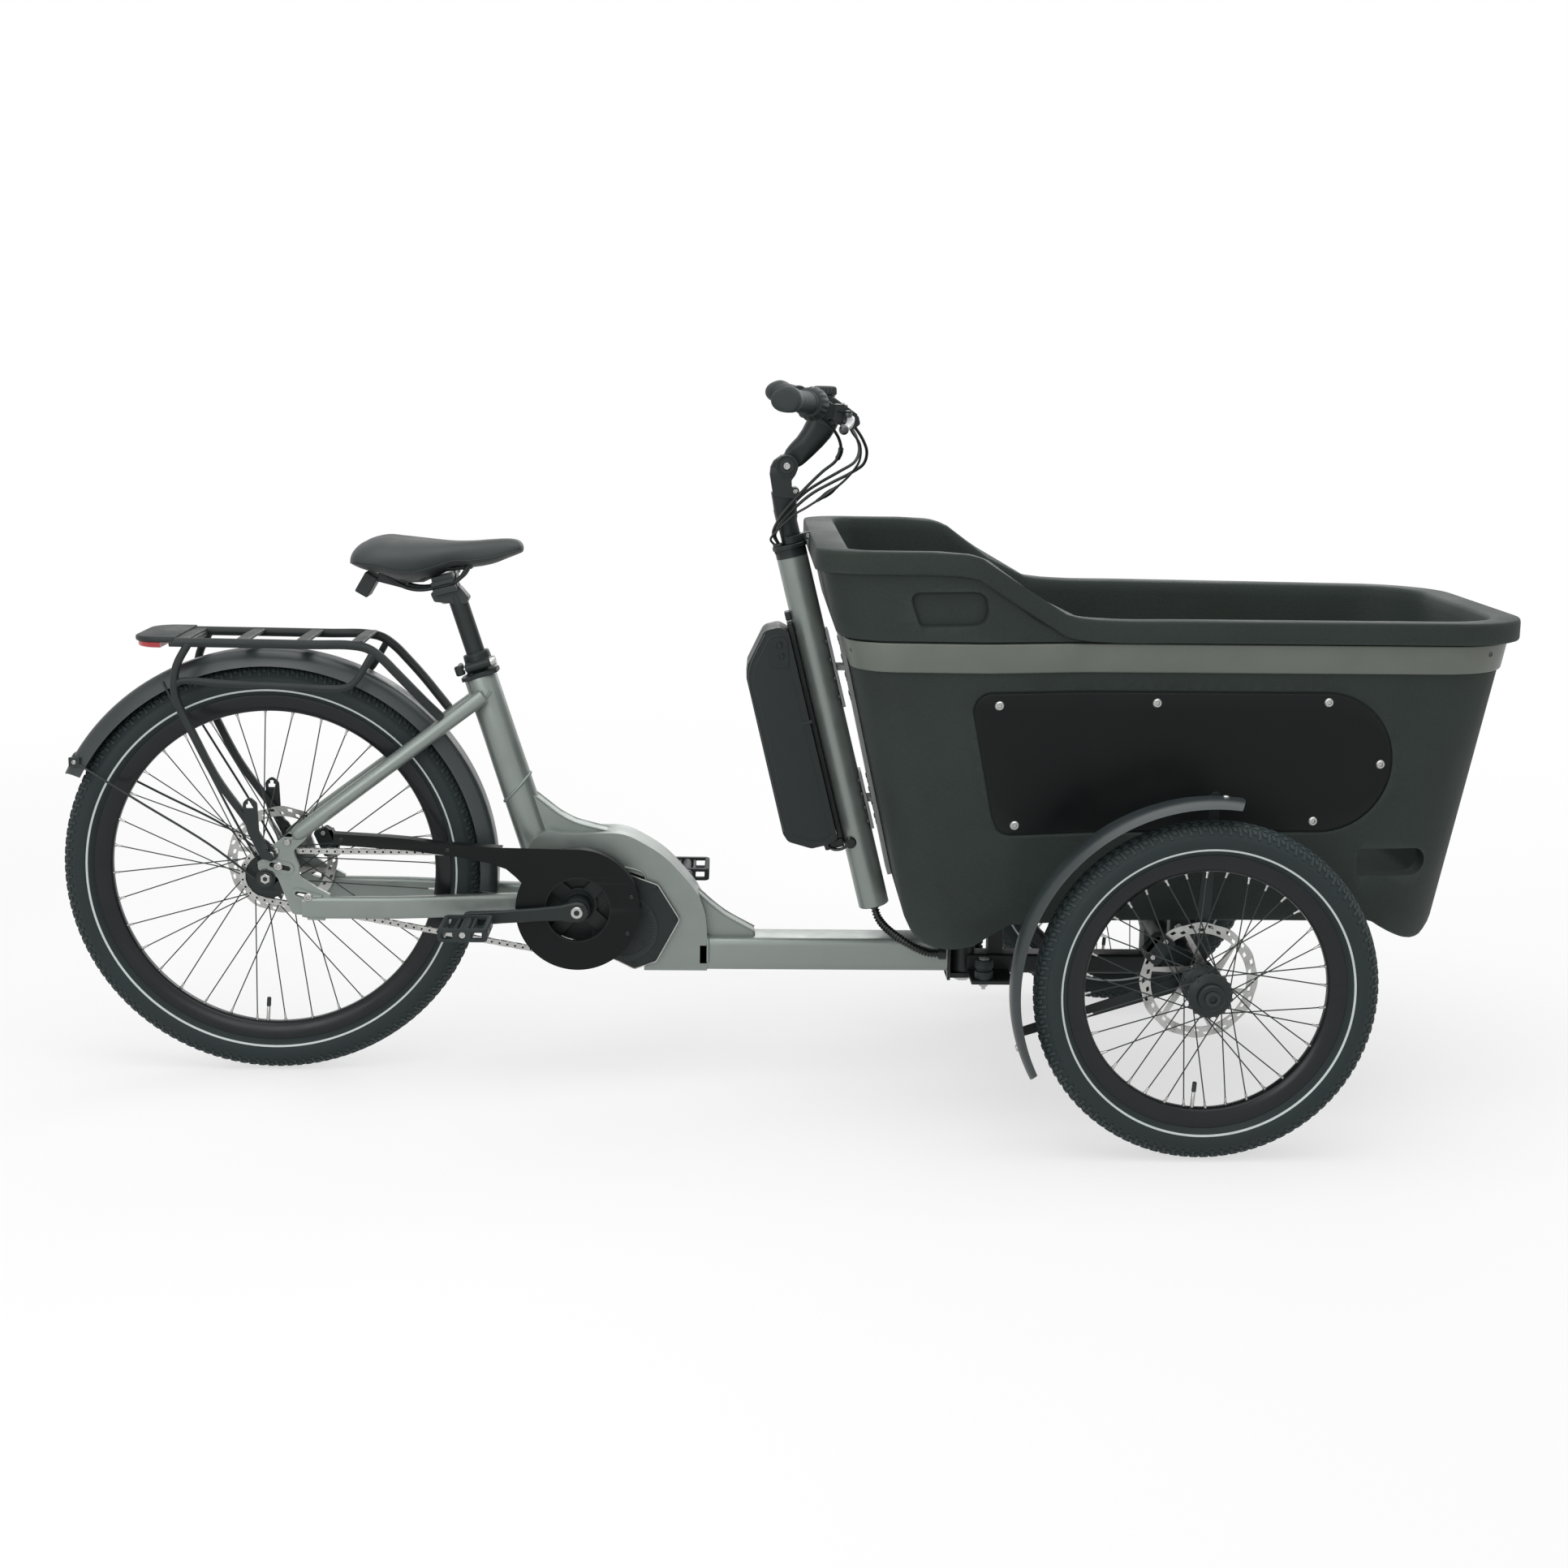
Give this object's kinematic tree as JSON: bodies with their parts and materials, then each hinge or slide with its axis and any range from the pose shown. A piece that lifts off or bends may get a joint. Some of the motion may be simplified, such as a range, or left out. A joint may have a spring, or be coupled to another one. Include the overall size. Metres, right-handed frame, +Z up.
{
  "type": "cargo tricycle",
  "caption": "Electric cargo tricycle with a deep open box between two steered front wheels, a chain-driven rear wheel, rear rack, battery on the steering tube and wide handlebar.",
  "frame": {"origin": "on the ground under the middle of the bounding box, on the tricycle's middle plane", "axes": "+X forward to the cargo box, +Y to the rider's left, +Z up"},
  "size_m": [2.2926, 0.924, 1.1262],
  "materials": {
    "frame_paint": "satin metallic grey paint",
    "black_metal": "satin black coating",
    "bright_metal": "bare brushed steel",
    "rim_black": "satin black anodising",
    "tyre_rubber": "matt rubber with a pale reflecting line on each wall",
    "box_foam": "fine-grained matt moulded foam",
    "band_plastic": "matt dark olive grey",
    "panel_plastic": "smooth matt charcoal sheet",
    "black_plastic": "matt black moulding",
    "red_lens": "clear red lens",
    "saddle_cover": "fine-grained black synthetic cover",
    "grip_rubber": "soft matt black rubber",
    "cable_rubber": "smooth black sheath"
  },
  "bodies": {
    "frame": {"main_frame": "frame_paint", "rear_triangle_right": "frame_paint", "rear_triangle_left": "frame_paint", "motor": "black_plastic", "chain_guard": "black_plastic", "chain": "bright_metal", "rear_rack": "black_metal", "rear_fender": "black_plastic", "rear_light": "red_lens", "seat_clamp": "black_metal", "rear_brake_caliper": "black_metal", "rear_axle": "bright_metal", "pivot_yoke": "black_metal", "cable_conduit": "black_plastic"},
    "clamp_lever": {"seat_clamp_lever": "black_metal"},
    "rear_wheel": {"rear_tyre": "tyre_rubber", "rear_rim": "rim_black", "rear_hub_spokes": "black_metal", "rear_brake_rotor": "bright_metal"},
    "sprocket": {"rear_sprocket": "bright_metal"},
    "crank": {"chainring": "black_metal", "crank_arm_right": "black_metal", "crank_arm_left": "black_metal"},
    "right_pedal": {"pedal_right": "black_plastic"},
    "left_pedal": {"pedal_left": "black_plastic"},
    "seat": {"seat_post": "black_metal", "saddle": "saddle_cover", "saddle_rails": "black_metal"},
    "front": {"cargo_box": "box_foam", "box_band": "band_plastic", "side_panel_right": "panel_plastic", "side_panel_left": "panel_plastic", "chassis": "black_metal", "steering_tube": "frame_paint", "front_fender_right": "black_plastic", "front_fender_left": "black_plastic", "front_brake_caliper_right": "black_metal", "front_brake_caliper_left": "black_metal"},
    "battery_pack": {"battery": "black_plastic"},
    "front_wheel_right": {"front_tyre_right": "tyre_rubber", "front_rim_right": "rim_black", "front_hub_spokes_right": "black_metal", "front_brake_rotor_right": "bright_metal"},
    "front_wheel_left": {"front_tyre_left": "tyre_rubber", "front_rim_left": "rim_black", "front_hub_spokes_left": "black_metal", "front_brake_rotor_left": "bright_metal"},
    "bar_post": {"handlebar_post": "black_metal", "control_cables": "cable_rubber"},
    "bar": {"stem": "black_metal", "handlebar": "black_metal", "grip_left": "grip_rubber", "grip_right": "grip_rubber", "brake_master_right": "black_metal", "brake_master_left": "black_metal", "bell": "black_plastic"},
    "right_brake_lever": {"brake_lever_right": "bright_metal"},
    "left_brake_lever": {"brake_lever_left": "bright_metal"},
    "shifter": {"gear_shifter": "grip_rubber"},
    "bell_thumb": {"bell_lever": "black_plastic"}
  },
  "joints": [
    {"name": "steering", "type": "hinge", "parent": "frame", "child": "front", "pos_m": [0.31025, 0, 0.203], "axis": [0, 0, 1], "range_deg": [-35, 35], "deforming": ["cable_conduit"]},
    {"name": "rear_wheel_spin", "type": "hinge", "parent": "frame", "child": "rear_wheel", "pos_m": [-0.81175, 0, 0.3345], "axis": [0, 1, 0], "continuous": true},
    {"name": "front_wheel_right_spin", "type": "hinge", "parent": "front", "child": "front_wheel_right", "pos_m": [0.62925, -0.412, 0.258], "axis": [0, 1, 0], "continuous": true},
    {"name": "front_wheel_left_spin", "type": "hinge", "parent": "front", "child": "front_wheel_left", "pos_m": [0.62925, 0.412, 0.258], "axis": [0, 1, 0], "continuous": true},
    {"name": "crank_spin", "type": "hinge", "parent": "frame", "child": "crank", "pos_m": [-0.31875, 0, 0.289], "axis": [0, 1, 0], "continuous": true},
    {"name": "sprocket_spin", "type": "hinge", "parent": "frame", "child": "sprocket", "pos_m": [-0.81175, -0.054, 0.3345], "axis": [0, 1, 0], "continuous": true},
    {"name": "pedal_right_spin", "type": "hinge", "parent": "crank", "child": "right_pedal", "pos_m": [-0.4883, -0.157, 0.27655], "axis": [0, 1, 0], "continuous": true},
    {"name": "pedal_left_spin", "type": "hinge", "parent": "crank", "child": "left_pedal", "pos_m": [-0.1492, 0.157, 0.30145], "axis": [0, 1, 0], "continuous": true},
    {"name": "seat_post_slide", "type": "slide", "parent": "frame", "child": "seat", "axis": [-0.309, 0, 0.9511], "range_m": [-0.08, 0.08]},
    {"name": "clamp_lever_hinge", "type": "hinge", "parent": "frame", "child": "clamp_lever", "pos_m": [-0.5091, -0.031, 0.6648], "axis": [-0.309, 0, 0.9511], "range_deg": [0, 170]},
    {"name": "battery_slide", "type": "slide", "parent": "front", "child": "battery_pack", "axis": [-0.2445, 0, 0.9697], "range_m": [0, 0.1]},
    {"name": "handlebar_height", "type": "slide", "parent": "front", "child": "bar_post", "axis": [-0.2445, 0, 0.9697], "range_m": [-0.03, 0.05]},
    {"name": "stem_tilt", "type": "hinge", "parent": "bar_post", "child": "bar", "pos_m": [0.00625, 0, 0.997], "axis": [0, 1, 0], "range_deg": [-25, 25], "deforming": ["control_cables"]},
    {"name": "brake_lever_right_pull", "type": "hinge", "parent": "bar", "child": "right_brake_lever", "pos_m": [0.09335, -0.17163, 1.07897], "axis": [0, 0, -1], "range_deg": [0, 20], "stiffness_Nm_per_rad": 0.6},
    {"name": "brake_lever_left_pull", "type": "hinge", "parent": "bar", "child": "left_brake_lever", "pos_m": [0.09335, 0.17163, 1.07897], "axis": [0, 0, 1], "range_deg": [0, 20], "stiffness_Nm_per_rad": 0.6},
    {"name": "gear_twist", "type": "hinge", "parent": "bar", "child": "shifter", "pos_m": [0.03622, -0.20148, 1.1], "axis": [-0.284, -0.9551, 0.0845], "range_deg": [-60, 60]},
    {"name": "bell_thumb_push", "type": "hinge", "parent": "bar", "child": "bell_thumb", "pos_m": [0.0518, -0.08802, 1.10607], "axis": [0, 0, 1], "range_deg": [0, 30], "stiffness_Nm_per_rad": 0.02}
  ],
  "couplings": [
    {"joint": "sprocket_spin", "follows": "crank_spin", "ratio": 2.1}
  ]
}
